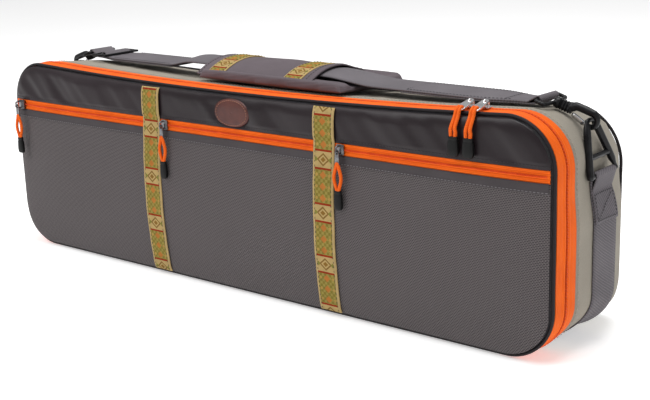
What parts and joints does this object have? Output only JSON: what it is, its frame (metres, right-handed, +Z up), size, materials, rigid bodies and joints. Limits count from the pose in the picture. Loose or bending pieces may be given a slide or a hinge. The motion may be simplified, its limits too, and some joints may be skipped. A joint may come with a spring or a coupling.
{
  "type": "fishing rod case",
  "caption": "Long soft-sided case with a zipped lid, front pockets, padded interior dividers and a clipped shoulder strap.",
  "frame": {"origin": "on the floor, under the middle of the support webbing that passes below the case", "axes": "+X along the case towards the end with the zip sliders, -Y towards the front, +Z up"},
  "size_m": [0.8148, 0.1802, 0.251],
  "materials": {
    "sage_fabric": "matte woven polyester",
    "charcoal_fabric": "smooth coated fabric, soft sheen",
    "grey_mesh": "fine open mesh",
    "orange_tape": "woven zip tape with nylon coil",
    "dark_piping": "satin piping",
    "grey_webbing": "woven webbing",
    "jacquard": "patterned woven strip",
    "brown_leather": "satin grain",
    "lining": "matte lining",
    "foam": "matte foam",
    "orange_cord": "braided cord",
    "black_plastic": "satin moulded",
    "bright_metal": "polished",
    "gun_metal": "satin dark"
  },
  "bodies": {
    "case_body": {"body_zip_tape": "orange_tape", "gusset": "sage_fabric", "wall_stiffener": "foam", "body_lining": "lining", "back_lining": "lining", "back_stiffener": "foam", "back_panel": "sage_fabric", "back_piping": "dark_piping", "hinge_strip_body": "charcoal_fabric", "long_divider": "lining", "short_divider_1": "lining", "short_divider_2": "lining", "support_webbing": "grey_webbing", "shoulder_strap": "grey_webbing", "strap_adjuster": "black_plastic", "left_eye": "black_plastic", "right_eye": "black_plastic"},
    "lid": {"lid_zip_tape": "orange_tape", "front_piping": "dark_piping", "lid_cover": "charcoal_fabric", "lid_stiffener": "foam", "lid_lining": "lining", "mesh_panel": "grey_mesh", "pocket_zip_left": "orange_tape", "pocket_zip_middle": "orange_tape", "pocket_zip_right": "orange_tape", "trim_strip_left": "jacquard", "trim_strip_right": "jacquard", "leather_patch": "brown_leather", "hinge_strip_lid": "charcoal_fabric"},
    "main_zip_left": {"main_zip_left_slider": "bright_metal"},
    "main_pull_left": {"main_zip_left_tab": "bright_metal", "main_zip_left_cord": "orange_cord", "main_zip_left_grip": "black_plastic"},
    "main_zip_right": {"main_zip_right_slider": "bright_metal"},
    "main_pull_right": {"main_zip_right_tab": "bright_metal", "main_zip_right_cord": "orange_cord", "main_zip_right_grip": "black_plastic"},
    "pocket_left_zip": {"pocket_left_slider": "gun_metal"},
    "pocket_left_pull": {"pocket_left_tab": "gun_metal", "pocket_left_cord": "orange_cord", "pocket_left_grip": "black_plastic"},
    "pocket_middle_zip": {"pocket_middle_slider": "gun_metal"},
    "pocket_middle_pull": {"pocket_middle_tab": "gun_metal", "pocket_middle_cord": "orange_cord", "pocket_middle_grip": "black_plastic"},
    "pocket_right_zip": {"pocket_right_slider": "gun_metal"},
    "pocket_right_pull": {"pocket_right_tab": "gun_metal", "pocket_right_cord": "orange_cord", "pocket_right_grip": "black_plastic"},
    "left_snap": {"left_hook": "black_plastic"},
    "left_snap_gate": {"left_gate": "bright_metal"},
    "left_webbing_ring": {"left_ring": "black_plastic"},
    "right_snap": {"right_hook": "black_plastic"},
    "right_snap_gate": {"right_gate": "bright_metal"},
    "right_webbing_ring": {"right_ring": "black_plastic"},
    "strap_pad": {"shoulder_pad": "charcoal_fabric", "pad_sleeve": "charcoal_fabric", "pad_strip_left": "jacquard", "pad_strip_right": "jacquard"}
  },
  "joints": [
    {"name": "lid_hinge", "type": "hinge", "parent": "case_body", "child": "lid", "pos_m": [0, -0.0775, -0.0006], "axis": [1, 0, 0], "range_deg": [0, 180]},
    {"name": "main_zip_left_slide", "type": "slide", "parent": "lid", "child": "main_zip_left", "axis": [1, 0, 0], "range_m": [-0.54, 0]},
    {"name": "main_pull_left_swing", "type": "hinge", "parent": "main_zip_left", "child": "main_pull_left", "pos_m": [0.2945, -0.0805, 0.24831], "axis": [-1, 0, 0], "range_deg": [0, 140]},
    {"name": "main_zip_right_slide", "type": "slide", "parent": "lid", "child": "main_zip_right", "axis": [0.9988, 0, 0.0484], "range_m": [0, 0.026]},
    {"name": "main_pull_right_swing", "type": "hinge", "parent": "main_zip_right", "child": "main_pull_right", "pos_m": [0.3115, -0.0805, 0.24905], "axis": [-1, 0, 0], "range_deg": [0, 140]},
    {"name": "pocket_left_slide", "type": "slide", "parent": "lid", "child": "pocket_left_zip", "axis": [0.9999, -0.015, 0], "range_m": [0, 0.218]},
    {"name": "pocket_left_pull_swing", "type": "hinge", "parent": "pocket_left_zip", "child": "pocket_left_pull", "pos_m": [-0.378, -0.1139, 0.1875], "axis": [-1, 0, 0], "range_deg": [0, 150]},
    {"name": "pocket_middle_slide", "type": "slide", "parent": "lid", "child": "pocket_middle_zip", "axis": [1, 0, 0], "range_m": [0, 0.214]},
    {"name": "pocket_middle_pull_swing", "type": "hinge", "parent": "pocket_middle_zip", "child": "pocket_middle_pull", "pos_m": [-0.108, -0.1139, 0.1875], "axis": [-1, 0, 0], "range_deg": [0, 150]},
    {"name": "pocket_right_slide", "type": "slide", "parent": "lid", "child": "pocket_right_zip", "axis": [1, 0, 0], "range_m": [0, 0.224]},
    {"name": "pocket_right_pull_swing", "type": "hinge", "parent": "pocket_right_zip", "child": "pocket_right_pull", "pos_m": [0.154, -0.1139, 0.1875], "axis": [-1, 0, 0], "range_deg": [0, 150]},
    {"name": "left_swivel", "type": "hinge", "parent": "case_body", "child": "left_snap", "pos_m": [-0.34475, 0.00724, 0.2468], "axis": [-0.9511, 0, -0.309], "range_deg": [-8, 8]},
    {"name": "left_gate_spring", "type": "hinge", "parent": "left_snap", "child": "left_snap_gate", "pos_m": [-0.37411, 0.00724, 0.232], "axis": [0, 1, 0], "range_deg": [0, 20], "stiffness_Nm_per_rad": 0.03, "springref_deg": -20.05},
    {"name": "left_ring_hinge", "type": "hinge", "parent": "case_body", "child": "left_webbing_ring", "pos_m": [-0.4035, 0, 0.176], "axis": [0, 1, 0], "range_deg": [-1.5, 1.5]},
    {"name": "right_swivel", "type": "hinge", "parent": "case_body", "child": "right_snap", "pos_m": [0.34475, -0.01924, 0.2468], "axis": [0.9511, 0, -0.309], "range_deg": [-8, 8]},
    {"name": "right_gate_spring", "type": "hinge", "parent": "right_snap", "child": "right_snap_gate", "pos_m": [0.37411, -0.01924, 0.232], "axis": [0, -1, 0], "range_deg": [0, 20], "stiffness_Nm_per_rad": 0.03, "springref_deg": -20.05},
    {"name": "right_ring_hinge", "type": "hinge", "parent": "case_body", "child": "right_webbing_ring", "pos_m": [0.4035, 0, 0.176], "axis": [0, 1, 0], "range_deg": [-1.5, 1.5]},
    {"name": "pad_slide", "type": "slide", "parent": "case_body", "child": "strap_pad", "axis": [0.9993, -0.0384, 0], "range_m": [-0.05, 0.05]}
  ]
}
